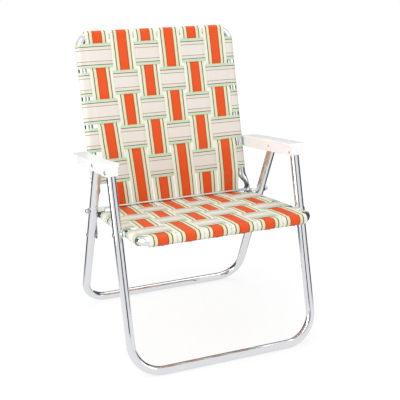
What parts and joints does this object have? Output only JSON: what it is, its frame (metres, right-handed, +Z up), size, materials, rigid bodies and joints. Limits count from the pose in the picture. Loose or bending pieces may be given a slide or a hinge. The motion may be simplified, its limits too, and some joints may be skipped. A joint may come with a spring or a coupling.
{
  "type": "folding webbed lawn chair",
  "caption": "Folding garden chair of round aluminium tube with woven striped webbing for seat and back and white plastic arms over hinged legs.",
  "frame": {"origin": "on the floor, under the middle of the chair's box", "axes": "+X across the chair, +Y from the front to the back, +Z up"},
  "size_m": [0.6224, 0.6054, 0.8908],
  "materials": {
    "tube": "polished drawn tube",
    "steel": "plated",
    "arm": "moulded, satin gloss",
    "nylon": "moulded",
    "long_web": "woven, striped along its length",
    "cross_web": "woven, striped along its length"
  },
  "bodies": {
    "front_legs": {"front_leg_frame": "tube", "seat_pivot_rivet_left": "steel", "seat_pivot_rivet_right": "steel", "seat_spacer_left": "nylon", "seat_spacer_right": "nylon"},
    "seat": {"seat_frame": "tube", "seat_cross_strap_1": "cross_web", "seat_cross_strap_2": "cross_web", "seat_cross_strap_3": "cross_web", "seat_cross_strap_4": "cross_web", "seat_long_strap_1": "long_web", "seat_long_strap_2": "long_web", "seat_long_strap_3": "long_web", "seat_long_strap_4": "long_web", "seat_long_strap_5": "long_web", "seat_long_strap_6": "long_web"},
    "back": {"back_frame": "tube", "back_cross_strap_1": "cross_web", "back_cross_strap_2": "cross_web", "back_cross_strap_3": "cross_web", "back_cross_strap_4": "cross_web", "back_cross_strap_5": "cross_web", "back_long_strap_1": "long_web", "back_long_strap_2": "long_web", "back_long_strap_3": "long_web", "back_long_strap_4": "long_web", "back_long_strap_5": "long_web", "back_long_strap_6": "long_web", "crease_rod": "steel", "rod_washer_left": "steel", "rod_washer_right": "steel", "lower_back_washer_left": "nylon", "lower_back_washer_right": "nylon", "lower_back_rivet_left": "steel", "lower_back_rivet_right": "steel"},
    "left_arm": {"arm_left": "arm", "arm_front_rivet_left": "steel", "arm_rear_rivet_left": "steel"},
    "right_arm": {"arm_right": "arm", "arm_front_rivet_right": "steel", "arm_rear_rivet_right": "steel"},
    "rear_legs": {"rear_leg_frame": "tube", "lower_back_rivet_head_left": "steel", "lower_back_rivet_head_right": "steel", "stop_sleeve_left": "nylon", "stop_sleeve_right": "nylon", "stop_bolt_left": "steel", "stop_bolt_right": "steel", "stop_washer_left": "steel", "stop_washer_right": "steel", "stop_cap_left": "steel", "stop_cap_right": "steel"}
  },
  "joints": [
    {"name": "seat_fold", "type": "hinge", "parent": "front_legs", "child": "seat", "pos_m": [0, -0.17097, 0.39018], "axis": [1, 0, 0], "range_deg": [-92.88, 0]},
    {"name": "back_fold", "type": "hinge", "parent": "seat", "child": "back", "pos_m": [0, 0.15705, 0.36377], "axis": [1, 0, 0], "range_deg": [-81.95, 0]},
    {"name": "left_arm_fold", "type": "hinge", "parent": "front_legs", "child": "left_arm", "pos_m": [-0.2786, -0.12764, 0.55337], "axis": [1, 0, 0], "range_deg": [-85.79, 0]},
    {"name": "right_arm_fold", "type": "hinge", "parent": "front_legs", "child": "right_arm", "pos_m": [0.2786, -0.12764, 0.55337], "axis": [1, 0, 0], "range_deg": [-85.79, 0]},
    {"name": "rear_leg_fold", "type": "hinge", "parent": "left_arm", "child": "rear_legs", "pos_m": [-0.2786, 0.0101, 0.54295], "axis": [1, 0, 0], "range_deg": [0, 44.05]}
  ],
  "couplings": [
    {"joint": "back_fold", "follows": "seat_fold", "ratio": 0.8823},
    {"joint": "left_arm_fold", "follows": "seat_fold", "ratio": 0.9236},
    {"joint": "right_arm_fold", "follows": "seat_fold", "ratio": 0.9236},
    {"joint": "rear_leg_fold", "follows": "seat_fold", "ratio": -0.4742}
  ]
}
